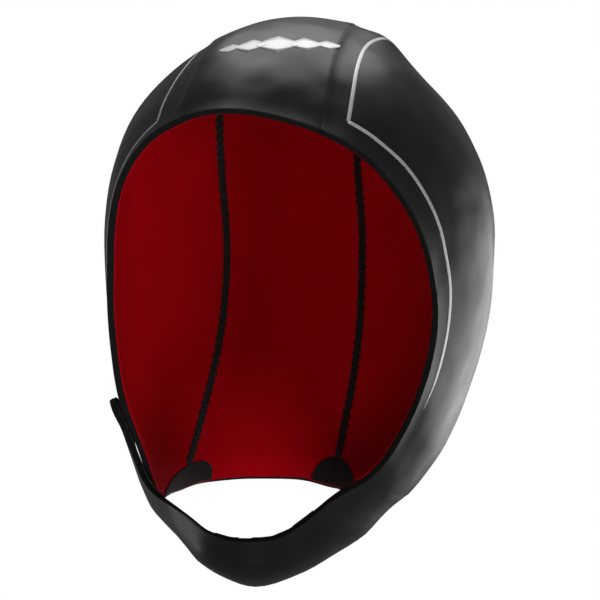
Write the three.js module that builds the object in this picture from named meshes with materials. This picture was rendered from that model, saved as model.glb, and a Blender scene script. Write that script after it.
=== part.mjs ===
// Neoprene skull cap: smooth black foam rubber outside, a red jersey lining inside, and a chin strap
// that grows out of one side panel, passes under the chin and laps over the other one.
// Millimetres, +Z up. The face opening looks towards -Y, and the strap grows out of the +X side.
// The origin is the inside top of the crown, where the cap sits on a head.
import * as THREE from 'three';

// Wall make-up, from the outer skin inwards
const FOAM = 2.2;
const LAYER_GAP = 0.3;
const LINING = 0.8;
const WALL = FOAM + LAYER_GAP + LINING;
const SEAM_GAP = 0.3;

// Head form: the outer face of the cap, measured from its centre
const STRAP_SIDE_WIDTH = 87.5;
const TAB_SIDE_WIDTH = 75.2;
const TAB_JAW_SPREAD = 20;
const TAB_JAW_BEND = 5;
const HALF_DEPTH = 90;
const CROWN_RISE = 94;
const CROWN_LEAN = 3.5;
const CROWN_TAPER = 0.12;
const JAW_DROP = 137;
const JAW_DROP_SKEW = 6;
const NAPE_DROP = 155;
const FULLNESS = 2.03;
const FULLNESS_SKEW = 0.09;
const CENTRE = new THREE.Vector3(0, 0, WALL - CROWN_RISE);

// Seam tapes, the patches at their ends, and the fastener pad
const TAPE_WIDTH = 5;
const TAPE_THICKNESS = 0.6;
const PATCH_WIDTH = 24;
const PATCH_HEIGHT = 14;
const PATCH_THICKNESS = 0.7;
const PATCH_TOP_WIDTH = 3.5;
const STRIP_GAP = 0.8;
const EDGE_MARGIN = 0.6;
const PAD_GAP = 0.4;
const PAD_THICKNESS = 0.6;

// Share of the rubber's and the lining's thickness that is left where tab and flap are pressed together
const PRESSED = 0.65;
const PRESSED_WALL = (FOAM + LINING) * PRESSED + LAYER_GAP;
const TAB_LIFT = PAD_GAP + PAD_THICKNESS + PAD_GAP + PRESSED_WALL;
const TIP_LIFT = TAB_LIFT + 1;

// Segments of the bent sheets
const SEAM_SEGMENTS = 16;
const CROWN_SEGMENTS = 6;
const PANEL_ROWS = 10;
const STRAP_ROWS = 18;
const END_ROWS = 3;
const PATCH_SEGMENTS = 4;
const PAD_SEGMENTS = 4;

// Places on the head form are given as turn, in degrees from the front towards +X, and rise, in
// degrees above the centre.
// Ends of the two seams between crown and side panels
const SEAM_ENDS = {
  tab: { brow: { turn: -23.5, rise: 30 }, nape: { turn: -113, rise: -63.2 } },
  strap: { brow: { turn: 19, rise: 25.4 }, nape: { turn: 170, rise: -61.7 } },
};

// The seams between their ends. arch: degrees round the centre, 0 in front, 90 on top, 180 behind.
// tabX, strapX: distance of each seam from the middle plane.
const SEAMS = [
  { arch: 51, tabX: -27, strapX: 27 },
  { arch: 75, tabX: -26.5, strapX: 28.5 },
  { arch: 100, tabX: -32, strapX: 27.5 },
  { arch: 125, tabX: -41, strapX: 23 },
  { arch: 152, tabX: -45, strapX: 20 },
  { arch: 180, tabX: -44.5, strapX: 21 },
  { arch: 207, tabX: -46, strapX: 19.5 },
  { arch: 231, tabX: -50.5, strapX: 13.5 },
];

// Edge of the face opening over the brow, between the two seams
const BROW = [
  { turn: -13, rise: 31.4 },
  { turn: -2.5, rise: 30.8 },
  { turn: 9, rise: 28.4 },
];

// Edge of the face opening down each cheek, from the seam to the strap or to the end of the flap
const STRAP_CHEEK = [
  { turn: 30.4, rise: 19.5 },
  { turn: 39.5, rise: 10 },
  { turn: 45.8, rise: 0 },
  { turn: 49.8, rise: -10 },
  { turn: 52.5, rise: -19.5 },
  { turn: 53.2, rise: -29 },
  { turn: 52.3, rise: -38 },
  { turn: 49.8, rise: -46.5 },
  { turn: 46, rise: -52.7 },
];
const TAB_CHEEK = [
  { turn: -34, rise: 26.7 },
  { turn: -43, rise: 20 },
  { turn: -48.5, rise: 10.5 },
  { turn: -51, rise: 0 },
  { turn: -53, rise: -10.5 },
  { turn: -57, rise: -21 },
  { turn: -61.5, rise: -32 },
  { turn: -64.5, rise: -41 },
  { turn: -65, rise: -48.5 },
  { turn: -64, rise: -55.5 },
];
const FLAP_END = { front: { turn: -60, rise: -61.9 }, back: { turn: -78, rise: -63.2 } };

// Lower edge round the back of the neck
const NAPE_TAB_SIDE = [
  { turn: -101, rise: -63.6 },
  { turn: -89, rise: -63.8 },
];
const NAPE_MIDDLE = [
  { turn: -130, rise: -61.6 },
  { turn: -147, rise: -60.5 },
  { turn: -160, rise: -60.1 },
  { turn: -175, rise: -60.2 },
];
const NAPE_STRAP_SIDE = [
  { turn: 160, rise: -63 },
  { turn: 142, rise: -64.3 },
  { turn: 127, rise: -65.2 },
  { turn: 111, rise: -65.2 },
  { turn: 96, rise: -64.9 },
];

// Stations along the strap, where it leaves the side panel, to its tip. f: front edge, b: back edge.
// crown: how far the section bulges. wrap: 1 where the row follows the head form, raised by lift.
const STRAP = [
  { fx: 39, fy: -46, fz: -184.5, bx: 51.5, by: -8, bz: -197.5, crown: 4, wrap: 1, lift: 0 },
  { fx: 32, fy: -50, fz: -190.5, bx: 47.5, by: -16, bz: -199.5, crown: 3.5, wrap: 0.6, lift: 0 },
  { fx: 21.5, fy: -56, fz: -198, bx: 37.5, by: -26, bz: -209.5, crown: 4, wrap: 0, lift: 0 },
  { fx: 14.5, fy: -60, fz: -203.5, bx: 25, by: -34, bz: -218, crown: 4, wrap: 0, lift: 0 },
  { fx: 6.5, fy: -63, fz: -207.5, bx: 12, by: -42, bz: -225, crown: 4.5, wrap: 0, lift: 0 },
  { fx: -4, fy: -65, fz: -208.5, bx: -4.5, by: -46, bz: -229.5, crown: 4.5, wrap: 0, lift: 0 },
  { fx: -12.5, fy: -64, fz: -208, bx: -17.5, by: -46, bz: -226, crown: 4.5, wrap: 0, lift: 0 },
  { fx: -22, fy: -60, fz: -205.5, bx: -29, by: -43, bz: -220, crown: 4, wrap: 0, lift: 0 },
  { fx: -36, fy: -50, fz: -198.5, bx: -43, by: -32, bz: -209.5, crown: 3, wrap: 0.3, lift: TAB_LIFT },
  { fx: -47, fy: -39, fz: -193, bx: -54, by: -19, bz: -202.5, crown: 2, wrap: 0.8, lift: TAB_LIFT },
  { fx: -55.5, fy: -31, fz: -187, bx: -61, by: -8, bz: -194.5, crown: 1.5, wrap: 1, lift: TAB_LIFT },
  { fx: -60, fy: -28, fz: -178.5, bx: -66, by: -3, bz: -181, crown: 1.5, wrap: 1, lift: TAB_LIFT },
  { fx: -64, fy: -28.5, fz: -168.5, bx: -71.5, by: -2.5, bz: -171.5, crown: 1.5, wrap: 1, lift: TAB_LIFT },
  { fx: -68, fy: -30, fz: -159.5, bx: -76.5, by: -4, bz: -163, crown: 1.5, wrap: 1, lift: TIP_LIFT },
];
const TIP_SHARE = 0.075;
const TIP_WIDTH = 0.4;
const FLAP_ROUND_SHARE = 0.06;
const FLAP_TIP_WIDTH = 0.72;

// Where the wall gets thinner: shares of the strap's length, and of the way from seam to flap end
const TAB_PRESSED = { from: 0.4, to: 0.62 };
const FLAP_PRESSED = { from: 0.75, to: 0.95 };

const SKIN = { color: 0x0b0b0c, roughness: 0.42, metalness: 0 };
const JERSEY = { color: 0x7c0912, roughness: 0.9, metalness: 0 };
const TAPE = { color: 0x101012, roughness: 0.85, metalness: 0 };
const HOOKS = { color: 0x141416, roughness: 0.95, metalness: 0 };

const clamp01 = (t) => Math.min(1, Math.max(0, t));
const lerp = (a, b, t) => a + (b - a) * t;

// Value below 1 inside the head form, 1 on it and above 1 outside, for a vector from the centre
function formValue(q) {
  const reach = q.length() + 1e-9;
  const up = Math.max(q.z, 0) / reach;
  const down = Math.max(-q.z, 0) / reach;
  const x = q.x - CROWN_LEAN * up ** 2 * reach / CROWN_RISE;
  const spread = Math.hypot(x, q.y) + 1e-9;
  const rear = clamp01(q.y / spread) ** 2;
  const width = x > 0 ? STRAP_SIDE_WIDTH : TAB_SIDE_WIDTH + TAB_JAW_SPREAD * down ** TAB_JAW_BEND;
  const drop = lerp(JAW_DROP - JAW_DROP_SKEW * x / spread, NAPE_DROP, rear);
  const height = q.z > 0 ? CROWN_RISE : drop;
  const power = FULLNESS - FULLNESS_SKEW * x / reach - CROWN_TAPER * up;
  const sum = Math.abs(x / width) ** power + Math.abs(q.y / HALF_DEPTH) ** power
    + Math.abs(q.z / height) ** power;
  return sum ** (1 / power);
}

function formNormal(point) {
  const step = 0.05;
  const value = (dx, dy, dz) => formValue(new THREE.Vector3(dx, dy, dz).add(point).sub(CENTRE));
  return new THREE.Vector3(
    value(step, 0, 0) - value(-step, 0, 0),
    value(0, step, 0) - value(0, -step, 0),
    value(0, 0, step) - value(0, 0, -step),
  ).normalize();
}

// The point on the head form that lies straight out from the centre through a given point
function onForm(point, lift = 0) {
  const q = point.clone().sub(CENTRE);
  const landed = q.divideScalar(formValue(q)).add(CENTRE);
  return lift === 0 ? landed : landed.addScaledVector(formNormal(landed), lift);
}

function atTurn({ turn, rise }) {
  const t = THREE.MathUtils.degToRad(turn);
  const r = THREE.MathUtils.degToRad(rise);
  const ray = new THREE.Vector3(Math.sin(t) * Math.cos(r), -Math.cos(t) * Math.cos(r), Math.sin(r));
  return onForm(ray.add(CENTRE));
}

// The point at a given distance x from the middle plane, on a ray that is turned up by arch
function atArch(arch, x) {
  const a = THREE.MathUtils.degToRad(arch);
  const ray = new THREE.Vector3(x, -Math.cos(a) * HALF_DEPTH, Math.sin(a) * HALF_DEPTH);
  let landed = onForm(ray.clone().add(CENTRE));
  for (let pass = 0; pass < 6; pass += 1) {
    ray.x *= x / landed.x;
    landed = onForm(ray.clone().add(CENTRE));
  }
  return landed;
}

const curve = (points) => new THREE.CatmullRomCurve3(points, false, 'centripetal');

function seamCurve(ends, key) {
  const between = SEAMS.map((row) => atArch(row.arch, row[key]));
  return curve([atTurn(ends.brow), ...between, atTurn(ends.nape)]);
}

const tabSeam = seamCurve(SEAM_ENDS.tab, 'tabX');
const strapSeam = seamCurve(SEAM_ENDS.strap, 'strapX');
const [tabBrow, tabNape] = [tabSeam.getPoint(0), tabSeam.getPoint(1)];
const [strapBrow, strapNape] = [strapSeam.getPoint(0), strapSeam.getPoint(1)];

const brow = curve([tabBrow, ...BROW.map(atTurn), strapBrow]);
const nape = curve([tabNape, ...NAPE_MIDDLE.map(atTurn), strapNape]);

const strapFronts = STRAP.map((row) => new THREE.Vector3(row.fx, row.fy, row.fz));
const strapBacks = STRAP.map((row) => new THREE.Vector3(row.bx, row.by, row.bz));
const strapFrontEdge = curve([strapBrow, ...STRAP_CHEEK.map(atTurn), ...strapFronts]);
const strapBackEdge = curve([strapNape, ...NAPE_STRAP_SIDE.map(atTurn), ...strapBacks]);
const tabFrontEdge = curve([tabBrow, ...TAB_CHEEK.map(atTurn), atTurn(FLAP_END.front)]);
const tabBackEdge = curve([tabNape, ...NAPE_TAB_SIDE.map(atTurn), atTurn(FLAP_END.back)]);

// A point of the sheet that is stretched between four edges that meet at their ends: start and end
// run across it, low and high along it
function stretched(start, end, low, high, u, v) {
  const at = new THREE.Vector3();
  at.addScaledVector(start(v), 1 - u).addScaledVector(end(v), u);
  at.addScaledVector(low(u), 1 - v).addScaledVector(high(u), v);
  at.addScaledVector(start(0), -(1 - u) * (1 - v)).addScaledVector(start(1), -(1 - u) * v);
  at.addScaledVector(end(0), -u * (1 - v)).addScaledVector(end(1), -u * v);
  return at;
}

// Where cheek and nape edges end and the strap's own rows begin, counted in rows
const CHEEK_ROWS = STRAP_CHEEK.length + 1;
const NAPE_ROWS = NAPE_STRAP_SIDE.length + 1;
const LAST_STRAP_ROW = STRAP.length - 1;

// How much of its width a rounded end keeps, for a share of the way into the rounding
const roundedShare = (share, least) => lerp(least, 1, Math.sqrt(1 - clamp01(share) ** 2));

// A frame on a seam: the point and the way across it towards +X, on the head form
function seamFrame(seam, t) {
  const point = onForm(seam.getPointAt(clamp01(t)));
  const across = seam.getTangentAt(clamp01(t)).cross(formNormal(point)).normalize();
  return { point, across };
}

// A point beside a seam
function besideSeam(seam, t, distance, depth = 0) {
  const { point, across } = seamFrame(seam, t);
  return onForm(point.addScaledVector(across, distance), -depth);
}

// u runs 0 to 1 from brow to nape, v from the tab's side to the strap's side
function crownSurface(u, v) {
  if (v === 0) return besideSeam(tabSeam, u, SEAM_GAP / 2);
  if (v === 1) return besideSeam(strapSeam, u, -SEAM_GAP / 2);
  return onForm(stretched(
    (t) => brow.getPoint(t), (t) => nape.getPoint(t),
    (t) => tabSeam.getPointAt(t), (t) => strapSeam.getPointAt(t), u, v,
  ));
}

// A point of the strap: s runs 0 to 1 along it, v from its front edge to its back edge
function strapSection(s, v) {
  const index = clamp01(s) * LAST_STRAP_ROW;
  const row = Math.min(LAST_STRAP_ROW - 1, Math.floor(index));
  const value = (key) => lerp(STRAP[row][key], STRAP[row + 1][key], index - row);
  const front = strapFrontEdge.getPoint((CHEEK_ROWS + index) / (CHEEK_ROWS + LAST_STRAP_ROW));
  const back = strapBackEdge.getPoint((NAPE_ROWS + index) / (NAPE_ROWS + LAST_STRAP_ROW));
  const rounding = roundedShare((s - 1 + TIP_SHARE) / TIP_SHARE, TIP_WIDTH);
  const across = lerp(0.5, v, rounding);
  const point = front.clone().lerp(back, across);
  point.addScaledVector(formNormal(point), value('crown') * 4 * across * (1 - across));
  return point.lerp(onForm(point, value('lift')), value('wrap'));
}

// u runs 0 to 1 over the side panel, then 1 to 2 along the strap
function strapSideSurface(u, v) {
  if (u > 1) return strapSection(u - 1, v);
  if (u === 0) return besideSeam(strapSeam, v, SEAM_GAP / 2);
  return onForm(stretched(
    (t) => strapSeam.getPointAt(t), (t) => strapSection(0, t),
    (t) => strapFrontEdge.getPoint(t * CHEEK_ROWS / (CHEEK_ROWS + LAST_STRAP_ROW)),
    (t) => strapBackEdge.getPoint(t * NAPE_ROWS / (NAPE_ROWS + LAST_STRAP_ROW)), u, v,
  ));
}

// u runs 0 to 1 from the seam to the rounded end of the flap under the tab
function tabSideSurface(u, v) {
  if (u === 0) return besideSeam(tabSeam, v, -SEAM_GAP / 2);
  const rounding = roundedShare((u - 1 + FLAP_ROUND_SHARE) / FLAP_ROUND_SHARE, FLAP_TIP_WIDTH);
  const end = (t) => tabFrontEdge.getPoint(1).lerp(tabBackEdge.getPoint(1), t);
  return onForm(stretched(
    (t) => tabSeam.getPointAt(t), end,
    (t) => tabFrontEdge.getPoint(t), (t) => tabBackEdge.getPoint(t), u, lerp(0.5, v, rounding),
  ));
}

// Outward normal of the strap, from neighbouring points of it
function strapNormal(s, v) {
  const step = 0.004;
  const along = strapSection(s + step, v).sub(strapSection(s - step, v));
  const across = strapSection(s, Math.min(1, v + step)).sub(strapSection(s, Math.max(0, v - step)));
  const normal = along.cross(across).normalize();
  return normal.dot(strapSection(s, v).sub(CENTRE)) < 0 ? normal.negate() : normal;
}

function outwardNormal(surface, u, v) {
  return u > 1 ? strapNormal(u - 1, v) : formNormal(surface(u, v));
}

// A closed sheet: two grids of points, place(column, row, outer), joined by a rim. Both grids
// are cut along the same diagonals, so that stacked sheets keep their gap.
function bentSheet(name, columns, rows, place, material) {
  const faceSize = (columns + 1) * (rows + 1);
  const at = (column, row, inner) => inner * faceSize + column * (rows + 1) + row;
  const points = [];
  for (const outer of [true, false]) {
    for (let column = 0; column <= columns; column += 1) {
      for (let row = 0; row <= rows; row += 1) points.push(place(column, row, outer));
    }
  }
  const corners = [];
  const quad = (a, b, c, d) => corners.push(a, b, c, a, c, d);
  for (let i = 0; i < columns; i += 1) {
    for (let j = 0; j < rows; j += 1) {
      quad(at(i, j, 0), at(i + 1, j, 0), at(i + 1, j + 1, 0), at(i, j + 1, 0));
      corners.push(at(i, j, 1), at(i + 1, j + 1, 1), at(i + 1, j, 1));
      corners.push(at(i, j, 1), at(i, j + 1, 1), at(i + 1, j + 1, 1));
    }
    quad(at(i, 0, 1), at(i + 1, 0, 1), at(i + 1, 0, 0), at(i, 0, 0));
    quad(at(i, rows, 0), at(i + 1, rows, 0), at(i + 1, rows, 1), at(i, rows, 1));
  }
  for (let j = 0; j < rows; j += 1) {
    quad(at(0, j, 0), at(0, j + 1, 0), at(0, j + 1, 1), at(0, j, 1));
    quad(at(columns, j, 1), at(columns, j + 1, 1), at(columns, j + 1, 0), at(columns, j, 0));
  }
  const geometry = new THREE.BufferGeometry().setFromPoints(points);
  geometry.setIndex(corners);
  if (enclosedVolume(geometry) < 0) turnInsideOut(geometry);
  geometry.computeVertexNormals();
  const mesh = new THREE.Mesh(geometry, new THREE.MeshStandardMaterial(material));
  mesh.name = name;
  return mesh;
}

function enclosedVolume(geometry) {
  const { position } = geometry.attributes;
  const corner = (i) => new THREE.Vector3().fromBufferAttribute(position, geometry.index.getX(i));
  let volume = 0;
  for (let i = 0; i < geometry.index.count; i += 3) {
    volume += corner(i).dot(corner(i + 1).cross(corner(i + 2))) / 6;
  }
  return volume;
}

function turnInsideOut(geometry) {
  const { index } = geometry;
  for (let i = 0; i < index.count; i += 3) {
    const first = index.getX(i);
    index.setX(i, index.getX(i + 1));
    index.setX(i + 1, first);
  }
}

// The share of its thickness that the wall keeps at a point of a side panel
const pressedShare = ({ from, to }, share) => lerp(1, PRESSED, clamp01((share - from) / (to - from)));
const strapSideShare = (u) => pressedShare(TAB_PRESSED, u - 1);
const tabSideShare = (u) => pressedShare(FLAP_PRESSED, u);

// One layer of a panel. depths(share): where it begins and ends under the outer skin.
function layer(name, surface, us, rows, shareAt, depths, material) {
  const place = (column, row, outer) => {
    const [u, v] = [us[column], row / rows];
    const [near, far] = depths(shareAt(u));
    return surface(u, v).addScaledVector(outwardNormal(surface, u, v), outer ? -near : -far);
  };
  return bentSheet(name, us.length - 1, rows, place, material);
}

function panel(names, surface, us, rows, shareAt) {
  const foamDepths = (share) => [0, FOAM * share];
  const liningDepths = (share) => [FOAM * share + LAYER_GAP, (FOAM + LINING) * share + LAYER_GAP];
  return [
    layer(names.foam, surface, us, rows, shareAt, foamDepths, SKIN),
    layer(names.lining, surface, us, rows, shareAt, liningDepths, JERSEY),
  ];
}

const evenSteps = (count) => Array.from({ length: count + 1 }, (_, i) => i / count);

// Steps that close up towards a rounded end
function roundedSteps(count, share) {
  const straight = evenSteps(count).map((t) => t * (1 - share));
  const rounded = evenSteps(END_ROWS).slice(1).map((t) => 1 - share + share * Math.sin(t * Math.PI / 2));
  return [...straight, ...rounded];
}

// A strip laid on the lining along a seam, between two shares of the seam's length. Between the
// panels' own rows it runs straight, as they do.
function seamStrip(name, seam, stations, width, thickness, sideSegments) {
  const top = WALL + STRIP_GAP;
  const place = (column, row, outer) => {
    const depth = outer ? top : top + thickness;
    const distance = (column / sideSegments - 0.5) * width(row / (stations.length - 1));
    const index = Math.min(SEAM_SEGMENTS - 1, Math.floor(stations[row] * SEAM_SEGMENTS));
    const from = besideSeam(seam, index / SEAM_SEGMENTS, distance, depth);
    const to = besideSeam(seam, (index + 1) / SEAM_SEGMENTS, distance, depth);
    return from.lerp(to, stations[row] * SEAM_SEGMENTS - index);
  };
  return bentSheet(name, sideSegments, stations.length - 1, place, TAPE);
}

function seamTapeAndPatch(side, seam) {
  const length = seam.getLength();
  const patchFrom = 1 - PATCH_HEIGHT / length;
  const tapeStations = evenSteps(SEAM_SEGMENTS).slice(1, -1);
  tapeStations.unshift(EDGE_MARGIN / length);
  tapeStations.push(patchFrom - LAYER_GAP / length);
  const patchTo = 1 - EDGE_MARGIN / length;
  const patchStations = evenSteps(PATCH_SEGMENTS).map((t) => lerp(patchFrom, patchTo, t));
  const halfRound = (t) => Math.max(PATCH_TOP_WIDTH, PATCH_WIDTH * Math.sqrt(1 - (1 - t) ** 2));
  return [
    seamStrip(`seam_tape_${side}`, seam, tapeStations, () => TAPE_WIDTH, TAPE_THICKNESS, 1),
    seamStrip(`seam_end_patch_${side}`, seam, patchStations, halfRound, PATCH_THICKNESS,
      PATCH_SEGMENTS),
  ];
}

// Fastener pad between the tab of the strap and the side panel under it
const PAD_CORNERS = {
  lowFront: new THREE.Vector3(-57, -19, -180),
  lowBack: new THREE.Vector3(-58.5, -7, -182),
  highFront: new THREE.Vector3(-66, -23, -161),
  highBack: new THREE.Vector3(-69, -8, -163),
};

function fastenerPad() {
  const place = (column, row, outer) => {
    const [a, b] = [column / PAD_SEGMENTS, row / PAD_SEGMENTS];
    const low = PAD_CORNERS.lowFront.clone().lerp(PAD_CORNERS.lowBack, a);
    const high = PAD_CORNERS.highFront.clone().lerp(PAD_CORNERS.highBack, a);
    return onForm(low.lerp(high, b), outer ? PAD_GAP + PAD_THICKNESS : PAD_GAP);
  };
  return bentSheet('hook_patch', PAD_SEGMENTS, PAD_SEGMENTS, place, HOOKS);
}

const strapSteps = [
  ...evenSteps(PANEL_ROWS),
  ...roundedSteps(STRAP_ROWS, TIP_SHARE).slice(1).map((t) => 1 + t),
];

const cap = new THREE.Group();
cap.add(...panel({ foam: 'crown_panel', lining: 'crown_lining' },
  crownSurface, evenSteps(SEAM_SEGMENTS), CROWN_SEGMENTS, () => 1));
cap.add(...panel({ foam: 'strap_side_panel', lining: 'strap_side_lining' },
  strapSideSurface, strapSteps, SEAM_SEGMENTS, strapSideShare));
cap.add(...panel({ foam: 'tab_side_panel', lining: 'tab_side_lining' },
  tabSideSurface, roundedSteps(PANEL_ROWS, FLAP_ROUND_SHARE), SEAM_SEGMENTS, tabSideShare));
cap.add(...seamTapeAndPatch('tab_side', tabSeam));
cap.add(...seamTapeAndPatch('strap_side', strapSeam));
cap.add(fastenerPad());

export default cap;
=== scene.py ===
import math
from functools import lru_cache

import bmesh
import bpy
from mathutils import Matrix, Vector, kdtree, noise


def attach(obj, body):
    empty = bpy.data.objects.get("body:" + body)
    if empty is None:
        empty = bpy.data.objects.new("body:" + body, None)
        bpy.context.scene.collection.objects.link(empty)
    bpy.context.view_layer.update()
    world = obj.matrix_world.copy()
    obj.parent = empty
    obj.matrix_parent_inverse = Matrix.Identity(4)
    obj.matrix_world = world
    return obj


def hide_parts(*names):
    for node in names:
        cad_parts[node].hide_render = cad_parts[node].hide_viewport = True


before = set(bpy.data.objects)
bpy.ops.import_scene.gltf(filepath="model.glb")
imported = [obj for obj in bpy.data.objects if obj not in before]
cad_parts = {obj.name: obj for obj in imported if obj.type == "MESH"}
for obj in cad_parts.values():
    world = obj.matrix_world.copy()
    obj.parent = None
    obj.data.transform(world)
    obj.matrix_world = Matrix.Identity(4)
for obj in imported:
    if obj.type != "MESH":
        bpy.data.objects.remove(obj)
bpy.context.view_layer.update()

MM = 0.001
TINY = 1e-9

# Wall make-up
WALL = 3.3 * MM
FOAM = 2.75 * MM
JERSEY = WALL - FOAM
CUT_ROUNDING = 0.4 * MM
JERSEY_ROUNDING = CUT_ROUNDING / 3
SEAM_ROUNDING_SHARE = 0.08
SEAM_GAP = 0.03 * MM

# On the strap the jersey keeps this share of the width from each edge, from this share of its length on
JERSEY_INSET = 0.02
INSET_REACH = 0.2

# Head form: the outer face of the cap, measured from its centre
STRAP_SIDE_WIDTH = 87.5 * MM
TAB_SIDE_WIDTH = 75.2 * MM
TAB_JAW_SPREAD = 20 * MM
TAB_JAW_BEND = 5
HALF_DEPTH = 90 * MM
CROWN_RISE = 94 * MM
CROWN_LEAN = 3.5 * MM
CROWN_TAPER = 0.12
JAW_DROP = 137 * MM
JAW_DROP_SKEW = 6 * MM
NAPE_DROP = 155 * MM
FULLNESS = 2.03
FULLNESS_SKEW = 0.09
CENTRE = Vector((0, 0, WALL - CROWN_RISE))
NORMAL_STEP = 0.05 * MM
ARCH_ROUNDS = 6

# Where tab and flap are pressed together, walls keep this share of their thickness. They thin
# between two shares of the strap's length, and of the side panel's length for the flap.
PRESSED = 0.65
TAB_PRESSED = (0.4, 0.62)
FLAP_PRESSED = (0.75, 0.95)

# Fastener pad, the share of the strap's length where it starts, and the lift of the tab on it
PAD_START = 0.62
PAD_GAP = 0.4 * MM
PAD_THICKNESS = 0.6 * MM
CAD_LAYER_GAP = 0.3 * MM
CAD_PRESSED_WALL = (WALL - CAD_LAYER_GAP) * PRESSED + CAD_LAYER_GAP
TAB_LIFT = PAD_GAP + PAD_THICKNESS + PAD_GAP + CAD_PRESSED_WALL
TIP_LIFT = TAB_LIFT + 1 * MM

# Places on the head form: turn in degrees from the front towards +X, rise in degrees above the centre
SEAM_ENDS = {
    "tab": ((-23.5, 30), (-113, -61.9)),
    "strap": ((19, 25.4), (170, -60.4)),
}
# arch in degrees round the centre from the front over the top, then each seam's distance from the
# middle plane in millimetres
SEAMS = [
    # arch, tab, strap
    (51, -27, 27),
    (75, -26.5, 28.5),
    (100, -32, 27.5),
    (125, -41, 23),
    (152, -45, 20),
    (180, -44.5, 21),
    (207, -46, 19.5),
    (231, -50.5, 13.5),
]
BROW = [(-13, 31.4), (-2.5, 30.8), (9, 28.4)]
TAB_CHEEK = [
    (-34, 26.7), (-43, 20), (-48.5, 10.5), (-51, 0), (-53, -10.5),
    (-57, -21), (-61.5, -32), (-64.5, -41), (-65, -48.5), (-64, -55.5),
]
STRAP_CHEEK = [
    (30.4, 19.5), (39.5, 10), (45.8, 0), (49.8, -10), (52.5, -19.5),
    (53.2, -29), (52.3, -38), (49.8, -46.5), (46, -52.7),
]
FLAP_FRONT = (-60, -61.9)
FLAP_BACK = (-78, -63.2)
NAPE_TAB_SIDE = [(-101, -62.6), (-89, -63.3)]
NAPE_MIDDLE = [(-130, -60.2), (-147, -59.1), (-160, -58.7), (-175, -58.8)]
NAPE_STRAP_SIDE = [(160, -61.8), (142, -63.4), (127, -64.7), (111, -65), (96, -64.9)]

# Stations along the strap in millimetres, from the side panel to the tip. crown: bulge of the
# section, wrap: 1 where the row follows the head form, lift: metres that it then stands off it.
STRAP = [
    # front edge, back edge, crown, wrap, lift
    ((39, -46, -184.5), (51.5, -8, -197.5), 4, 1, 0),
    ((32, -50, -190.5), (47.5, -16, -199.5), 3.5, 0.6, 0),
    ((21.5, -56, -198), (37.5, -26, -209.5), 4, 0, 0),
    ((14.5, -60, -203.5), (25, -34, -218), 4, 0, 0),
    ((6.5, -63, -207.5), (12, -42, -225), 4.5, 0, 0),
    ((-4, -65, -208.5), (-4.5, -46, -229.5), 4.5, 0, 0),
    ((-12.5, -64, -208), (-17.5, -46, -226), 4.5, 0, 0),
    ((-22, -60, -205.5), (-29, -43, -220), 4, 0, 0),
    ((-36, -50, -198.5), (-43, -32, -209.5), 3, 0.3, TAB_LIFT),
    ((-47, -39, -193), (-54, -19, -202.5), 2, 0.8, TAB_LIFT),
    ((-55.5, -31, -187), (-61, -8, -194.5), 1.5, 1, TAB_LIFT),
    ((-60, -28, -178.5), (-66, -3, -181), 1.5, 1, TAB_LIFT),
    ((-64, -28.5, -168.5), (-71.5, -2.5, -171.5), 1.5, 1, TAB_LIFT),
    ((-68, -30, -159.5), (-76.5, -4, -163), 1.5, 1, TIP_LIFT),
]
TIP_SHARE = 0.075
TIP_WIDTH = 0.4
FLAP_ROUND_SHARE = 0.06
FLAP_TIP_WIDTH = 0.72

# Relief of the finished skin over the head form
BROAD_WAVE = 46 * MM
BROAD_HEIGHT = 0.9 * MM
FINE_WAVE = 13 * MM
FINE_HEIGHT = 0.16 * MM
CROWN_LIP = 0.5 * MM
CROWN_LIP_REACH = 12 * MM
SIDE_DROP = {"tab": 0.5 * MM, "strap": 0.75 * MM}
SIDE_DROP_REACH = 6 * MM
SEAM_STEP_FADE = 10 * MM
SEAM_GROOVE = 0.1 * MM
SEAM_GROOVE_REACH = 1 * MM
EDGE_FLARE = 0.8 * MM
EDGE_FLARE_REACH = 7 * MM
NAPE_FLARE = 2 * MM
NAPE_FLARE_REACH = 14 * MM

# Silver lines, each from the back over the crown to the corner at the brow and down the cheek
STRAP_LINE_WIDTH = 1.6 * MM
TAB_LINE_WIDTH = 1.2 * MM
LINE_THICKNESS = 0.08 * MM
LINE_TAPER = 0.7
LINE_END_SHARE = 0.15
LINE_STEPS = (4, 120)
LEAST_LINE_WIDTH = 0.1 * MM
STRAP_SIDE_LINE = [
    [(104, 52), (95, 58), (82, 62), (63, 61.3), (50, 57.3), (41.1, 51.5), (35.5, 45.4), (32.2, 39.8),
     (29.7, 34.4), (27.5, 28.7)],
    [(27.5, 28.7), (33.5, 25.3), (38.4, 21.4), (42.3, 18), (47.1, 12), (52, 3.2), (55.2, -6.2),
     (57.5, -14.5), (58.2, -26), (57.5, -35), (55.5, -42.3)],
]
TAB_SIDE_LINE = [
    [(-100, 52), (-86, 58), (-70, 62), (-51, 60.8), (-43, 54), (-39, 46.3), (-36.5, 38.9), (-33.8, 31.2)],
    [(-33.8, 31.2), (-38.5, 28.3), (-44.5, 22.5), (-49.2, 14.6), (-52.4, 6.2), (-55.5, -2.5), (-57.5, -11),
     (-58.5, -19)],
]


def lerp(a, b, share):
    return a + (b - a) * share


def clamped(share):
    return min(1.0, max(0.0, share))


# The head form

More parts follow.
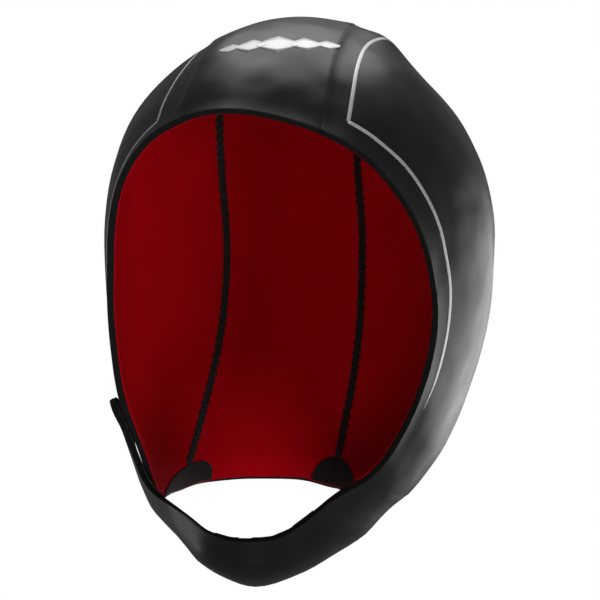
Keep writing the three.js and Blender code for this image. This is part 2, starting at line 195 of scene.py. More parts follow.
def form_value(q):
    """Below 1 inside the head form, 1 on it and above 1 outside, for a vector from the centre."""
    reach = q.length + TINY
    up, down = max(q.z, 0) / reach, max(-q.z, 0) / reach
    x = q.x - CROWN_LEAN * up ** 2 * reach / CROWN_RISE
    spread = math.hypot(x, q.y) + TINY
    rear = clamped(q.y / spread) ** 2
    width = STRAP_SIDE_WIDTH if x > 0 else TAB_SIDE_WIDTH + TAB_JAW_SPREAD * down ** TAB_JAW_BEND
    drop = lerp(JAW_DROP - JAW_DROP_SKEW * x / spread, NAPE_DROP, rear)
    height = CROWN_RISE if q.z > 0 else drop
    power = FULLNESS - FULLNESS_SKEW * x / reach - CROWN_TAPER * up
    total = abs(x / width) ** power + abs(q.y / HALF_DEPTH) ** power + abs(q.z / height) ** power
    return total ** (1 / power)


def form_normal(point):
    q = point - CENTRE
    slopes = []
    for axis in range(3):
        nudge = Vector((0, 0, 0))
        nudge[axis] = NORMAL_STEP
        slopes.append(form_value(q + nudge) - form_value(q - nudge))
    return Vector(slopes).normalized()


def on_form(point, lift=0.0):
    """The point on the head form that lies straight out from the centre through a given point."""
    q = point - CENTRE
    landed = q / form_value(q) + CENTRE
    return landed + form_normal(landed) * lift if lift else landed


def at_turn(place):
    turn, rise = (math.radians(angle) for angle in place)
    ray = Vector((math.sin(turn) * math.cos(rise), -math.cos(turn) * math.cos(rise), math.sin(rise)))
    return on_form(ray * HALF_DEPTH + CENTRE)


def at_arch(arch, x):
    """The point at a distance x from the middle plane, on a ray that is turned up by arch."""
    a = math.radians(arch)
    ray = Vector((x, -math.cos(a) * HALF_DEPTH, math.sin(a) * HALF_DEPTH))
    landed = on_form(ray + CENTRE)
    for _ in range(ARCH_ROUNDS):
        ray.x *= x / landed.x
        landed = on_form(ray + CENTRE)
    return landed


class Edge:
    """A smooth line through points: a centripetal Catmull-Rom curve, as the panels' edges are."""

    STEPS = 400

    def __init__(self, points):
        ends = (points[0] * 2 - points[1], points[-1] * 2 - points[-2])
        self.knots = [ends[0], *points, ends[1]]
        self.spans = len(points) - 1
        self.at = lru_cache(maxsize=None)(self._at)
        self.at_length = lru_cache(maxsize=None)(self._at_length)
        walk = [self._at(i / self.STEPS) for i in range(self.STEPS + 1)]
        self.walked = [0.0]
        for a, b in zip(walk, walk[1:]):
            self.walked.append(self.walked[-1] + (b - a).length)
        self.length = self.walked[-1]
        self.samples = walk

    def _at(self, share):
        position = clamped(share) * self.spans
        span = min(int(position), self.spans - 1)
        t = position - span
        p0, p1, p2, p3 = self.knots[span:span + 4]
        d0, d1, d2 = (math.sqrt((b - a).length) for a, b in ((p0, p1), (p1, p2), (p2, p3)))
        start = ((p1 - p0) / d0 - (p2 - p0) / (d0 + d1) + (p2 - p1) / d1) * d1
        stop = ((p2 - p1) / d1 - (p3 - p1) / (d1 + d2) + (p3 - p2) / d2) * d1
        square = (p2 - p1) * 3 - start * 2 - stop
        cube = (p1 - p2) * 2 + start + stop
        return p1 + start * t + square * t * t + cube * t * t * t

    def _at_length(self, share):
        target = clamped(share) * self.length
        low, high = 0, self.STEPS
        while high - low > 1:
            middle = (low + high) // 2
            low, high = (middle, high) if self.walked[middle] < target else (low, middle)
        inside = (target - self.walked[low]) / (self.walked[high] - self.walked[low] + TINY)
        return self._at((low + inside) / self.STEPS)

    def direction(self, share):
        step = 1e-3
        return (self.at_length(min(1, share + step)) - self.at_length(max(0, share - step))).normalized()


def seam_edge(side, column):
    front, back = (at_turn(place) for place in SEAM_ENDS[side])
    return Edge([front, *(at_arch(row[0], row[column] * MM) for row in SEAMS), back])


tab_seam = seam_edge("tab", 1)
strap_seam = seam_edge("strap", 2)
brow = Edge([tab_seam.at(0), *map(at_turn, BROW), strap_seam.at(0)])
nape = Edge([tab_seam.at(1), *map(at_turn, NAPE_MIDDLE), strap_seam.at(1)])
strap_fronts = [Vector(row[0]) * MM for row in STRAP]
strap_backs = [Vector(row[1]) * MM for row in STRAP]
strap_front_edge = Edge([strap_seam.at(0), *map(at_turn, STRAP_CHEEK), *strap_fronts])
strap_back_edge = Edge([strap_seam.at(1), *map(at_turn, NAPE_STRAP_SIDE), *strap_backs])
tab_front_edge = Edge([tab_seam.at(0), *map(at_turn, TAB_CHEEK), at_turn(FLAP_FRONT)])
tab_back_edge = Edge([tab_seam.at(1), *map(at_turn, NAPE_TAB_SIDE), at_turn(FLAP_BACK)])

CHEEK_ROWS = len(STRAP_CHEEK) + 1
NAPE_ROWS = len(NAPE_STRAP_SIDE) + 1
LAST_STRAP_ROW = len(STRAP) - 1
FRONT_SHARE = CHEEK_ROWS / (CHEEK_ROWS + LAST_STRAP_ROW)
BACK_SHARE = NAPE_ROWS / (NAPE_ROWS + LAST_STRAP_ROW)


def stretched(start, end, low, high, u, v):
    """A point of the sheet stretched between four edges: start and end run across, low and high along."""
    across = start(v) * (1 - u) + end(v) * u
    along = low(u) * (1 - v) + high(u) * v
    corners = (start(0) * (1 - v) + start(1) * v) * (1 - u) + (end(0) * (1 - v) + end(1) * v) * u
    return across + along - corners


def rounded_share(share, least):
    """How much of its width a rounded end keeps, for a share of the way into the rounding."""
    return lerp(least, 1, math.sqrt(1 - clamped(share) ** 2))


def beside_seam(seam, t, distance, depth=0.0):
    point = on_form(seam.at_length(t))
    across = seam.direction(t).cross(form_normal(point)).normalized()
    return on_form(point + across * distance, -depth)


@lru_cache(maxsize=None)
def crown_surface(u, v):
    """u runs from brow to nape, v from the tab's side to the strap's side."""
    if v == 0:
        return beside_seam(tab_seam, u, SEAM_GAP / 2)
    if v == 1:
        return beside_seam(strap_seam, u, -SEAM_GAP / 2)
    return on_form(stretched(brow.at, nape.at, tab_seam.at_length, strap_seam.at_length, u, v))


@lru_cache(maxsize=None)
def strap_section(s, v):
    """A point of the strap: s runs along it to the tip, v from its front edge to its back edge."""
    index = clamped(s) * LAST_STRAP_ROW
    row = min(LAST_STRAP_ROW - 1, int(index))
    crown, wrap, lift = (lerp(STRAP[row][k], STRAP[row + 1][k], index - row) for k in (2, 3, 4))
    front = strap_front_edge.at((CHEEK_ROWS + index) / (CHEEK_ROWS + LAST_STRAP_ROW))
    back = strap_back_edge.at((NAPE_ROWS + index) / (NAPE_ROWS + LAST_STRAP_ROW))
    across = lerp(0.5, v, rounded_share((s - 1 + TIP_SHARE) / TIP_SHARE, TIP_WIDTH))
    point = front.lerp(back, across)
    point = point + form_normal(point) * (crown * MM * 4 * across * (1 - across))
    return point.lerp(on_form(point, lift), wrap)


@lru_cache(maxsize=None)
def strap_side_surface(u, v):
    """u runs 0 to 1 over the side panel, then 1 to 2 along the strap."""
    if u > 1:
        return strap_section(u - 1, v)
    if u == 0:
        return beside_seam(strap_seam, v, SEAM_GAP / 2)
    return on_form(stretched(
        strap_seam.at_length, lambda t: strap_section(0, t),
        lambda t: strap_front_edge.at(t * FRONT_SHARE), lambda t: strap_back_edge.at(t * BACK_SHARE), u, v))


@lru_cache(maxsize=None)
def tab_side_surface(u, v):
    """u runs from the seam to the rounded end of the flap under the tab."""
    if u == 0:
        return beside_seam(tab_seam, v, -SEAM_GAP / 2)
    rounding = rounded_share((u - 1 + FLAP_ROUND_SHARE) / FLAP_ROUND_SHARE, FLAP_TIP_WIDTH)
    return on_form(stretched(
        tab_seam.at_length, lambda t: tab_front_edge.at(1).lerp(tab_back_edge.at(1), t),
        tab_front_edge.at, tab_back_edge.at, u, lerp(0.5, v, rounding)))


def strap_normal(s, v):
    step = 0.004
    along = strap_section(min(1, s + step), v) - strap_section(max(0, s - step), v)
    across = strap_section(s, min(1, v + step)) - strap_section(s, max(0, v - step))
    normal = along.cross(across).normalized()
    return -normal if normal.dot(strap_section(s, v) - CENTRE) < 0 else normal


def outward(surface, u, v):
    """The outward normal of a panel, which on the strap comes from neighbouring points."""
    return strap_normal(u - 1, v) if u > 1 else form_normal(surface(u, v))


# Relief: the soft unevenness of a hand-glued cap

# Single dents and bumps that show along the outline: turn, rise, height and reach in millimetres
DENTS = [
    (83, 64, 2.6, 12),
    (88, 50, -1.7, 16),
    (97, -6, -0.9, 11),
    (-65, -54, -4.2, 22),
    (-95, 42, 3.4, 32),
]
dents = [(at_turn((turn, rise)), height * MM, reach * MM) for turn, rise, height, reach in DENTS]


def tree_of(*lines):
    points = [p for line in lines for p in line]
    tree = kdtree.KDTree(len(points))
    for i, p in enumerate(points):
        tree.insert(p, i)
    tree.balance()
    return tree


# The nape's edge goes on along each side panel, as far as it stands out with it
TAB_NAPE_STEPS = int(0.6 * Edge.STEPS)
STRAP_NAPE_STEPS = int(0.3 * BACK_SHARE * Edge.STEPS)

seam_tree = tree_of(tab_seam.samples, strap_seam.samples)
opening_tree = tree_of(brow.samples, tab_front_edge.samples, strap_front_edge.samples)
nape_tree = tree_of(nape.samples, tab_back_edge.samples[:TAB_NAPE_STEPS],
                    strap_back_edge.samples[:STRAP_NAPE_STEPS])


def relief(point, side):
    """How far the finished skin stands out from its panel's even surface, at a point of it.

    The crown steps down to the side panels at each seam, and that step fades towards the open edges.
    """
    rise = noise.noise(point / BROAD_WAVE) * BROAD_HEIGHT
    rise += noise.noise(point / FINE_WAVE) * FINE_HEIGHT
    seam, edge, low_edge = (tree.find(point)[2] for tree in (seam_tree, opening_tree, nape_tree))
    stepped = clamped(min(edge, low_edge) / SEAM_STEP_FADE)
    if side == "crown":
        rise += stepped * CROWN_LIP * math.exp(-seam / CROWN_LIP_REACH)
    else:
        reach = seam / SIDE_DROP_REACH
        drop = SIDE_DROP[side] * reach * math.exp(1 - reach)
        rise += stepped * (CROWN_LIP * math.exp(-3 * reach) - drop)
    rise -= SEAM_GROOVE * math.exp(-(seam / SEAM_GROOVE_REACH) ** 2)
    rise += EDGE_FLARE * max(0.0, 1 - edge / EDGE_FLARE_REACH) ** 2
    rise += NAPE_FLARE * max(0.0, 1 - low_edge / NAPE_FLARE_REACH) ** 2
    for centre, height, width in dents:
        rise += height * math.exp(-((point - centre).length / width) ** 2)
    return rise


# Meshes

def crowded(share, ends=0.7):
    """Spreads steps so that they lie closer together at both ends of a sheet."""
    if share in (0, 1):
        return share
    return share - ends * math.sin(2 * math.pi * share) / (2 * math.pi)


def grid_mesh(name, columns, rows, place, on_seam=None):
    """A grid of quads whose corner (column, row) is moved to place(column, row), facing outwards.

    Its UV map is in metres: along the middle row, and across each column from its middle. Outer
    edges are marked for rounding, in full, or slightly where they touch a seam, as on_seam tells.
    """
    shape = bmesh.new()
    bmesh.ops.create_grid(shape, x_segments=columns, y_segments=rows, size=0.5)
    corner = {v: (round((v.co.x + 0.5) * columns), round((v.co.y + 0.5) * rows)) for v in shape.verts}
    points = {}
    for v, at in corner.items():
        v.co = points[at] = place(*at)
    along = [0.0]
    for i in range(columns):
        along.append(along[-1] + (points[i + 1, rows // 2] - points[i, rows // 2]).length)
    across = {}
    for i in range(columns + 1):
        steps = [0.0]
        for j in range(rows):
            steps.append(steps[-1] + (points[i, j + 1] - points[i, j]).length)
        for j in range(rows + 1):
            across[i, j] = steps[j] - steps[-1] / 2
    rounding = shape.edges.layers.float.new("bevel_weight_edge")
    for edge in shape.edges:
        if edge.is_boundary:
            sewn = on_seam and any(on_seam(*corner[v]) for v in edge.verts)
            edge[rounding] = SEAM_ROUNDING_SHARE if sewn else 1.0
    uv = shape.loops.layers.uv.new("UVMap")
    for face in shape.faces:
        face.smooth = True
        for loop in face.loops:
            i, j = corner[loop.vert]
            loop[uv].uv = (along[i], across[i, j])
    shape.normal_update()
    centre = points[columns // 2, rows // 2]
    middle = min(shape.faces, key=lambda f: (f.calc_center_median() - centre).length)
    if middle.normal.dot(middle.calc_center_median() - CENTRE) < 0:
        bmesh.ops.reverse_faces(shape, faces=shape.faces)
    mesh = bpy.data.meshes.new(name)
    shape.to_mesh(mesh)
    shape.free()
    return mesh


def piece(name, mesh, materials, nodes=()):
    """An object of the cap, riding on its one body, with its finish and the node that it stands for."""
    made = bpy.data.objects.new(name, mesh)
    bpy.context.scene.collection.objects.link(made)
    for material in materials:
        mesh.materials.append(material)
    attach(made, "root")
    if nodes:
        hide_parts(*nodes)
    return made


def thicken(made, thickness, rounding=0.0, rim_material=0, segments=3, thinned=None):
    """Gives a sheet its wall, inwards from its outer face, and softens the corners of its cut edge."""
    wall = made.modifiers.new("wall", "SOLIDIFY")
    wall.thickness = thickness
    wall.offset = -1
    wall.use_even_offset = True
    wall.use_quality_normals = True
    wall.material_offset_rim = rim_material
    if thinned:
        group = made.vertex_groups.new(name="thickness")
        for share, indices in thinned.items():
            group.add(indices, share, "REPLACE")
        wall.vertex_group = group.name
    if rounding:
        soft = made.modifiers.new("soft corners", "BEVEL")
        soft.width = rounding
        soft.segments = segments
        soft.limit_method = "WEIGHT"
        soft.use_clamp_overlap = False


def pressed_share(pressed, share):
    start, stop = pressed
    return lerp(1, PRESSED, clamped((share - start) / (stop - start)))


def panel(stem, surface, columns, rows, u_at, share_at, side, on_seam, skin, cut, lining):
    """A panel's foam, with its skin outside, and the jersey bonded to it inside."""
    def place(depth):
        def at(column, row):
            u, v = u_at(column / columns), crowded(row / rows)
            if depth:
                inset = JERSEY_INSET * clamped((u - 1) / INSET_REACH)
                v = lerp(inset, 1 - inset, v)
            point = surface(u, v)
            return point + outward(surface, u, v) * (relief(point, side) - depth * share_at(u))
        return at
    def thinned():
        """Lists of corners by the share of the wall that they keep; a column keeps its corners together."""
        shares = {}
        for column in range(columns + 1):
            share = share_at(u_at(column / columns))
            shares.setdefault(share, []).extend(row * (columns + 1) + column for row in range(rows + 1))
        return shares
    foam = piece(f"{stem}_foam", grid_mesh(f"{stem}_foam", columns, rows, place(0), on_seam),
                 [skin, cut], [f"{stem}_panel"])
    thicken(foam, FOAM, CUT_ROUNDING, rim_material=1, thinned=thinned())
    jersey = piece(f"{stem}_jersey", grid_mesh(f"{stem}_jersey", columns, rows, place(FOAM), on_seam),
                   [lining, cut], [f"{stem}_lining"])
    # The tab's inside is black from where the fastener pad starts
    for face in jersey.data.polygons:
        if u_at(min(face.vertices) % (columns + 1) / columns) > 1 + PAD_START:
            face.material_index = 1
    thicken(jersey, JERSEY, JERSEY_ROUNDING, segments=2, thinned=thinned())
    return foam, jersey


# Tapes, patches and stitches along the two seams inside

TAPE_WIDTH = 3.8 * MM
TAPE_THICKNESS = 0.35 * MM
TAPE_GAP = 0.02 * MM
TAPE_ROUNDING = 0.1 * MM
TAPE_STEPS = (6, 220)
PATCH_WIDTH = {"tab": 46 * MM, "strap": 24 * MM}
PATCH_HEIGHT = {"tab": 15.5 * MM, "strap": 14 * MM}
PATCH_LIFT = 0.12 * MM
PATCH_MARGIN = 0.1 * MM
PATCH_ROUNDING = 0.12 * MM
PATCH_STEPS = (28, 14)
EDGE_MARGIN = 0.6 * MM
STITCH_STEP = 2.4 * MM
STITCH_OVERHANG = 0.85 * MM
THREAD_RADIUS = 0.3 * MM
THREAD_SIDES = 5

# Each stitch crosses the tape between these shares of its step, this share of the width off the middle
CROSSING = (0.25, 0.75)
CROSSING_REACH = 0.4


def inside_seam(side, seam, t, distance, depth):
    """A point on the inside of the wall beside a seam; depth is counted on from the wall."""
    point = beside_seam(seam, t, distance)
    on_crown = distance > 0 if side == "tab" else distance < 0
    height = relief(point, "crown" if on_crown else side)
    return point + form_normal(point) * (height - WALL - TAPE_GAP - depth)


def seam_tape(side, seam, tape):
    stop = 1 - PATCH_HEIGHT[side] / seam.length
    start = EDGE_MARGIN / seam.length
    columns, rows = TAPE_STEPS
    def place(column, row):
        distance = (column / columns - 0.5) * TAPE_WIDTH
        return inside_seam(side, seam, lerp(start, stop, row / rows), distance, 0)
    name = f"seam_tape_{side}_side"
    made = piece(f"{name}_band", grid_mesh(f"{name}_band", columns, rows, place), [tape],
                 [name])
    thicken(made, TAPE_THICKNESS, TAPE_ROUNDING, segments=2)
    return made


def nape_line(side, distance):
    """A point on the lower edge, at a distance from the end of a seam, positive towards the crown."""
    if side == "tab":
        edge, along = (nape, distance) if distance > 0 else (tab_back_edge, -distance)
    else:
        edge, along = (nape, nape.length - distance) if distance > 0 else (strap_back_edge, -distance)
    return edge.at_length(along / edge.length)


def seam_end_patch(side, seam, tape):
    """A half round of tape whose straight side stands on the edge of the nape."""
    up = -seam.direction(1)
    width, tall = PATCH_WIDTH[side], PATCH_HEIGHT[side]
    columns, rows = PATCH_STEPS
    def place(column, row):
        share = -math.cos(column / columns * math.pi)
        foot = nape_line(side, share * width / 2)
        top = max(tall * math.sqrt(1 - share ** 2), 2 * EDGE_MARGIN)
        height = lerp(PATCH_MARGIN, top, row / rows)
        point = on_form(foot + up * height)
        crowned = relief(point, "crown" if share > 0 else side)
        return point + form_normal(point) * (crowned - WALL - TAPE_GAP - PATCH_LIFT)
    name = f"seam_end_patch_{side}_side"
    made = piece(f"{name}_half_round", grid_mesh(f"{name}_half_round", columns, rows, place),
                 [tape], [name])
    thicken(made, TAPE_THICKNESS, PATCH_ROUNDING, segments=2)
    return made


def thread_along(name, points, radius, sides, material):
    """A thread through points: a ring of a few corners, carried from point to point and bridged."""
    shape = bmesh.new()
    rings = []
    for i, point in enumerate(points):
        ahead = points[min(i + 1, len(points) - 1)] - points[max(i - 1, 0)]
        up = form_normal(point)
        beside = ahead.cross(up).normalized()
        above = beside.cross(ahead).normalized()
        ring = bmesh.ops.create_circle(shape, cap_ends=False, radius=radius, segments=sides)["verts"]
        for k, v in enumerate(ring):
            angle = 2 * math.pi * k / sides
            v.co = point + (beside * math.cos(angle) + above * math.sin(angle)) * radius
        rings.append(list({edge for v in ring for edge in v.link_edges}))
    for a, b in zip(rings, rings[1:]):
        bmesh.ops.bridge_loops(shape, edges=a + b)
    bmesh.ops.holes_fill(shape, edges=[e for e in shape.edges if e.is_boundary], sides=sides)
    for face in shape.faces:
        face.smooth = True
    bmesh.ops.recalc_face_normals(shape, faces=shape.faces)
    mesh = bpy.data.meshes.new(name)
    shape.to_mesh(mesh)
    shape.free()
    return piece(name, mesh, [material])


def zigzag(side, seam, thread):
    """The overlock stitch that crosses the tape and bites into the jersey on both sides of it."""
    start = 2 * EDGE_MARGIN / seam.length
    stop = 1 - (PATCH_HEIGHT[side] + EDGE_MARGIN) / seam.length
    steps = int((stop - start) * seam.length / STITCH_STEP)
    reach = TAPE_WIDTH / 2 + STITCH_OVERHANG
    over_tape = TAPE_THICKNESS + 0.5 * THREAD_RADIUS
    points = []
    for i in range(steps):
        t = lerp(start, stop, i / steps)
        sign = 1 if i % 2 else -1
        points.append(inside_seam(side, seam, t, sign * reach, 0))
        for share, way in zip(CROSSING, (sign, -sign)):
            distance = way * TAPE_WIDTH * CROSSING_REACH
            points.append(inside_seam(side, seam, t + share / steps, distance, over_tape))
    return thread_along(f"stitches_{side}_side", points, THREAD_RADIUS, THREAD_SIDES, thread)


# The silver transfers on the skin

def silver_line(name, turns, side, silver, width, taper_start=0.0, taper_end=0.0):
    """A thin flat line on the skin that tapers to a point over a share of its length at each end."""
    line = Edge([at_turn(t) for t in turns])
    columns, rows = LINE_STEPS
    def place(column, row):
        t = row / rows
        here = width
        if taper_start:
            here *= clamped(t / taper_start) ** LINE_TAPER
        if taper_end:
            here *= clamped((1 - t) / taper_end) ** LINE_TAPER
        here = max(here, LEAST_LINE_WIDTH)
        point = on_form(line.at_length(t))
        across = line.direction(t).cross(form_normal(point)).normalized()
        point = on_form(point + across * ((column / columns - 0.5) * here))
        return point + form_normal(point) * (relief(point, side) + LINE_THICKNESS)
    made = piece(name, grid_mesh(name, columns, rows, place), [silver])
    thicken(made, LINE_THICKNESS * 2)
    return made


# Plain lozenges in a row on the front of the crown: turn of the middle, length and width in millimetres
LOZENGES = [(-16, 10, 7), (-6, 13, 10), (6, 17, 13), (18, 13, 10), (28, 10, 7)]
LOZENGE_RISE = 55
LOZENGE_TAPER = 0.5


def lozenge(index, turn, length, width, silver):
    half_turn = math.degrees(length * MM / 2 / HALF_DEPTH / math.cos(math.radians(LOZENGE_RISE)))
    turns = [(turn - half_turn, LOZENGE_RISE), (turn, LOZENGE_RISE), (turn + half_turn, LOZENGE_RISE)]
    return silver_line(f"crown_lozenge_{index}", turns, "crown", silver, width * MM,
                       LOZENGE_TAPER, LOZENGE_TAPER)


# Materials

class Wire:
    """An output socket of a finish. Sums and products on it add the Math nodes that work them out."""

    def __init__(self, finish, socket):
        self.finish = finish
        self.socket = socket

    def _math(self, operation, a, b):
        return self.finish.node("ShaderNodeMath", {"operation": operation}, {0: a, 1: b})

    def __add__(self, other):
        return self._math("ADD", self, other)

    def __sub__(self, other):
        return self._math("SUBTRACT", self, other)

    def __rsub__(self, other):
        return self._math("SUBTRACT", other, self)

    def __mul__(self, other):
        return self._math("MULTIPLY", self, other)

    __radd__ = __add__
    __rmul__ = __mul__


class Finish:
    """A material in the making, with its Principled shader."""

    def __init__(self, name):
        self.material = bpy.data.materials.new(name)
        self.material.use_nodes = True
        self.tree = self.material.node_tree
        self.shader = self.tree.nodes["Principled BSDF"]

    def node(self, kind, settings=None, sockets=None, output=0):
        """Adds a node with its settings and with the values or wires of its sockets."""
        made = self.tree.nodes.new(kind)
        for key, value in (settings or {}).items():
            setattr(made, key, value)
        for key, value in (sockets or {}).items():
            self.plug(made.inputs[key], value)
        return Wire(self, made.outputs[output])

    def plug(self, socket, value):
        if isinstance(value, Wire):
            self.tree.links.new(value.socket, socket)
        else:
            socket.default_value = value

    def shade(self, **sockets):
        for key, value in sockets.items():
            self.plug(self.shader.inputs[key.replace("_", " ")], value)
        return self

    def place(self):
        return self.node("ShaderNodeTexCoord", output="Object")

    def noise(self, scale, detail=2.0, roughness=0.5, distortion=0.0, at=None):
        return self.node("ShaderNodeTexNoise", None, {
            "Vector": at or self.place(), "Scale": scale, "Detail": detail, "Roughness": roughness,
            "Distortion": distortion})

    def mixed(self, factor, a, b):
        return self.node("ShaderNodeMix", {"data_type": "RGBA"}, {0: factor, 6: (*a, 1), 7: (*b, 1)},
                         output=2)

    def bump(self, height, strength, distance):
        return self.node("ShaderNodeBump", None, {
            "Height": height, "Strength": strength, "Distance": distance})


def skin_finish():
    """Smooth skin of foam rubber: half gloss, with cloudy patches that are duller, and fine scuffs."""
    f = Finish("skin_rubber")
    cloud = f.noise(30, 4, 0.55, 0.6)
    mottle = f.noise(36, 1.2, 0.45)
    grain = f.noise(1800, 2, 0.6)
    base = f.mixed(cloud, (0.005, 0.005, 0.0053), (0.011, 0.011, 0.0115))
    gloss = 0.26 + cloud * 0.22
    f.shade(Base_Color=base, Roughness=gloss,
            Normal=f.bump(mottle + grain * 0.012, 0.7, 3.5 * MM))
    f.shade(Specular_IOR_Level=0.5)
    return f.material


def cut_finish():
    """Cut edge of the foam: dull black, with its fine open pores."""
    f = Finish("cut_foam")
    pores = f.node("ShaderNodeTexVoronoi", None, {"Vector": f.place(), "Scale": 2600.0})
    speck = f.noise(900, 3, 0.7)
    f.shade(Base_Color=f.mixed(speck, (0.004, 0.004, 0.004), (0.014, 0.014, 0.014)),
            Roughness=0.78 + speck * 0.16, Normal=f.bump(pores, 0.6, 0.2 * MM))
    f.shade(Specular_IOR_Level=0.3)
    return f.material


def jersey_finish():
    """Red knitted jersey: fine ribs of loops and a slightly uneven dye."""
    f = Finish("lining_jersey")
    uv = f.node("ShaderNodeTexCoord", output="UV")
    ribs = f.node("ShaderNodeTexWave", {"wave_type": "BANDS", "bands_direction": "Y"}, {
        "Vector": uv, "Scale": 330.0, "Distortion": 1.5, "Detail": 1.0, "Detail Scale": 3.0})
    loops = f.node("ShaderNodeTexWave", {"wave_type": "BANDS", "bands_direction": "X"}, {
        "Vector": uv, "Scale": 250.0, "Distortion": 1.5, "Detail": 1.0, "Detail Scale": 3.0})
    nap = f.noise(1500, 3, 0.7)
    dye = f.noise(45, 4, 0.6)
    knit = ribs * loops
    tone = dye * 0.5 + nap * 0.35 + knit * 0.3 - 0.1
    f.shade(Base_Color=f.mixed(tone, (0.30, 0.0008, 0.004), (0.52, 0.0016, 0.009)),
            Roughness=0.85 + nap * 0.1, Normal=f.bump(knit + nap * 0.5, 0.4, 0.2 * MM))
    f.shade(Specular_IOR_Level=0.1)
    return f.material


def tape_finish(name, tone):
    f = Finish(name)
    uv = f.node("ShaderNodeTexCoord", output="UV")
    weave = f.node("ShaderNodeTexWave", {"wave_type": "BANDS", "bands_direction": "DIAGONAL"}, {
        "Vector": uv, "Scale": 900.0, "Distortion": 0.5})
    fluff = f.noise(1400, 3, 0.7)
    f.shade(Base_Color=f.mixed(fluff, (tone * 0.5,) * 3, (tone * 1.6,) * 3),
            Roughness=0.82 + fluff * 0.12, Normal=f.bump(weave + fluff * 0.6, 0.5, 0.2 * MM))
    f.shade(Specular_IOR_Level=0.3, Sheen_Weight=0.12)
    return f.material


def silver_finish():
    """Silver transfer: a dull metal flake that is a little worn."""
    f = Finish("silver_print")
    wear = f.noise(160, 4, 0.65)
    flake = f.noise(2400, 2, 0.5)
    f.shade(Base_Color=f.mixed(wear, (0.60, 0.60, 0.61), (0.82, 0.82, 0.83)),
            Roughness=0.36 + wear * 0.16, Metallic=0.6 + flake * 0.15,
            Normal=f.bump(flake, 0.15, 0.1 * MM))
    return f.material


skin = skin_finish()
cut = cut_finish()
jersey = jersey_finish()
tape = tape_finish("seam_tape", 0.012)
thread = tape_finish("stitch_thread", 0.008)
hooks = tape_finish("fastener", 0.014)
silver = silver_finish()

# The panels

CROWN_STEPS = (150, 34)
STRAP_SIDE_STEPS = (150, 110)
STRAP_SIDE_CROWDING = 0.5
TAB_SIDE_STEPS = (70, 110)


def over_panel(share):
    return crowded(share)


def over_panel_and_strap(share):
    """Half the columns cover the panel, which u counts to 1, and half the strap, which it counts to 2."""
    return 2 * crowded(share, STRAP_SIDE_CROWDING)


def full_wall(u):
    return 1


def strap_side_wall(u):
    return pressed_share(TAB_PRESSED, u - 1)


def tab_side_wall(u):
    return pressed_share(FLAP_PRESSED, u)


def crown_seams(column, row):
    return row in (0, CROWN_STEPS[1])


def side_seam(column, row):
    return column == 0


panel("crown", crown_surface, *CROWN_STEPS, over_panel, full_wall, "crown", crown_seams,
      skin, cut, jersey)
panel("strap_side", strap_side_surface, *STRAP_SIDE_STEPS, over_panel_and_strap, strap_side_wall,
      "strap", side_seam, skin, cut, jersey)
panel("tab_side", tab_side_surface, *TAB_SIDE_STEPS, over_panel, tab_side_wall, "tab", side_seam,
      skin, cut, jersey)

for side, seam in (("tab", tab_seam), ("strap", strap_seam)):
    seam_tape(side, seam, tape)
    seam_end_patch(side, seam, tape)
    zigzag(side, seam, thread)

silver_line("strap_side_line_crown", STRAP_SIDE_LINE[0], "strap", silver, STRAP_LINE_WIDTH,
            taper_start=LINE_END_SHARE)
silver_line("strap_side_line_cheek", STRAP_SIDE_LINE[1], "strap", silver, STRAP_LINE_WIDTH,
            taper_end=LINE_END_SHARE)
silver_line("tab_side_line_crown", TAB_SIDE_LINE[0], "tab", silver, TAB_LINE_WIDTH,
            taper_start=LINE_END_SHARE)
silver_line("tab_side_line_cheek", TAB_SIDE_LINE[1], "tab", silver, TAB_LINE_WIDTH,
            taper_end=LINE_END_SHARE)
for index, (turn, length, width) in enumerate(LOZENGES):
    lozenge(index, turn, length, width, silver)

# The fastener pad that covers the inside of the tab

# It starts narrower than the tab and widens to stand out a little past both of its edges
PAD_STOP = 0.985
PAD_OVERHANG = 0.012
PAD_START_INSET = -0.15
PAD_WIDENING = 0.1
PAD_ROUNDING = 0.25 * MM
PAD_STEPS = (48, 24)


def fastener_pad():
    columns, rows = PAD_STEPS
    def place(column, row):
        s = lerp(PAD_START, PAD_STOP, column / columns)
        beyond = lerp(PAD_START_INSET, PAD_OVERHANG, clamped((s - PAD_START) / PAD_WIDENING))
        v = lerp(-beyond, 1 + beyond, row / rows)
        point = strap_section(s, v)
        return point + strap_normal(s, clamped(v)) * (relief(point, "strap") - PRESSED * WALL)
    made = piece("hook_pad", grid_mesh("hook_pad", columns, rows, place), [hooks],
                 ["hook_patch"])
    thicken(made, PAD_THICKNESS, PAD_ROUNDING)


fastener_pad()

# Studio

VIEW_AZIMUTH = math.radians(10)
VIEW_DISTANCE = 0.7
AIM = Vector((0, 0, -0.1157))
PHOTO_WIDTH_PX = 600
PX_PER_METRE = 2360
AIM_LEFT_PX = 12
SENSOR = 36


def camera():
    right = Vector((math.cos(VIEW_AZIMUTH), math.sin(VIEW_AZIMUTH), 0))
    back = Vector((math.sin(VIEW_AZIMUTH), -math.cos(VIEW_AZIMUTH), 0))
    data = bpy.data.cameras.new("camera")
    data.sensor_width = SENSOR
    data.lens = SENSOR * VIEW_DISTANCE * PX_PER_METRE / PHOTO_WIDTH_PX
    data.clip_start, data.clip_end = 0.01, 50
    eye = bpy.data.objects.new("camera", data)
    eye.location = AIM + right * (AIM_LEFT_PX / PX_PER_METRE) + back * VIEW_DISTANCE
    eye.rotation_euler = (-back).to_track_quat("-Z", "Y").to_euler()
    bpy.context.scene.collection.objects.link(eye)
    bpy.context.scene.camera = eye


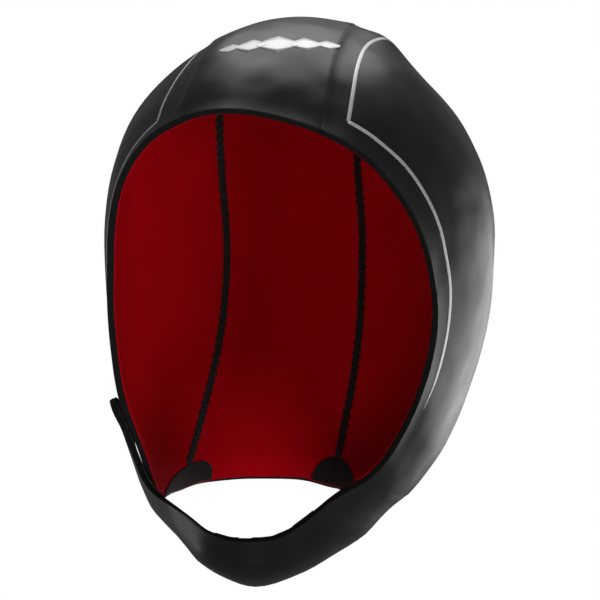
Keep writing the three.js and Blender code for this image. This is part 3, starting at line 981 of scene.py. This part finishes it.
def soft_light(name, azimuth, elevation, distance, size, power, glossy):
    """A soft box that looks at the cap; azimuth 0 is in front of the face, 90 on +X."""
    a, e = math.radians(azimuth), math.radians(elevation)
    away = Vector((math.sin(a) * math.cos(e), -math.cos(a) * math.cos(e), math.sin(e)))
    data = bpy.data.lights.new(name, "AREA")
    data.shape = "RECTANGLE"
    data.size, data.size_y = size
    data.energy = power
    lamp = bpy.data.objects.new(name, data)
    lamp.location = AIM + away * distance
    lamp.rotation_euler = (-away).to_track_quat("-Z", "Y").to_euler()
    lamp.visible_glossy = glossy
    bpy.context.scene.collection.objects.link(lamp)


# The world's glow grows from the front to the back, between these shares of the direction's depth
FRONT_GLOW = 0.1
BACK_GLOW = 0.16
GLOW_RANGE = (0.1, 0.9)
LIGHTS = [
    # name, azimuth, elevation, distance, size, power, seen in reflections
    ("overhead", 184, 71, 1.3, (1.1, 1.0), 7.5, True),
    ("key", 50, -18, 1.6, (0.7, 0.7), 15, False),
    ("front_fill", 4, -10, 1.6, (0.4, 0.4), 5.5, False),
    ("fill_from_below", -8, -62, 1.6, (0.5, 0.5), 26, False),
    ("side_strip", 136, -9, 1.3, (1.1, 0.9), 5.3, True),
    ("back_strip", 158, -8, 1.4, (0.4, 0.5), 0.8, True),
    ("low_left", -100, -25, 1.2, (0.5, 0.4), 0.8, True),
]
FLOOR_RADIUS = 2.2
FLOOR_HEIGHT = -0.9


def studio():
    world = bpy.data.worlds.new("studio")
    world.use_nodes = True
    bpy.context.scene.world = world
    nodes, links = world.node_tree.nodes, world.node_tree.links
    background = nodes["Background"]
    seen = nodes.new("ShaderNodeLightPath")
    direction = nodes.new("ShaderNodeTexCoord")
    split = nodes.new("ShaderNodeSeparateXYZ")
    links.new(direction.outputs["Generated"], split.inputs[0])
    ramp = nodes.new("ShaderNodeMapRange")
    ramp.interpolation_type = "SMOOTHSTEP"
    ramp.inputs["From Min"].default_value = GLOW_RANGE[0]
    ramp.inputs["From Max"].default_value = GLOW_RANGE[1]
    ramp.inputs["To Min"].default_value = FRONT_GLOW
    ramp.inputs["To Max"].default_value = BACK_GLOW
    links.new(split.outputs["Y"], ramp.inputs["Value"])
    strength = nodes.new("ShaderNodeMix")
    links.new(seen.outputs["Is Camera Ray"], strength.inputs[0])
    links.new(ramp.outputs[0], strength.inputs[2])
    strength.inputs[3].default_value = 1.0
    links.new(strength.outputs[0], background.inputs["Strength"])
    background.inputs["Color"].default_value = (1, 1, 1, 1)
    for light in LIGHTS:
        soft_light(*light)
    shape = bmesh.new()
    bmesh.ops.create_circle(shape, cap_ends=True, radius=FLOOR_RADIUS, segments=64)
    bmesh.ops.translate(shape, verts=shape.verts, vec=(0, 0, FLOOR_HEIGHT))
    mesh = bpy.data.meshes.new("floor")
    shape.to_mesh(mesh)
    shape.free()
    floor = bpy.data.objects.new("floor", mesh)
    bpy.context.scene.collection.objects.link(floor)
    pale = Finish("pale_floor")
    pale.shade(Base_Color=(0.85, 0.85, 0.85, 1), Roughness=0.9)
    mesh.materials.append(pale.material)
    floor.visible_glossy = False
    floor.visible_diffuse = False
    bpy.context.scene.view_settings.view_transform = "Standard"


studio()
camera()
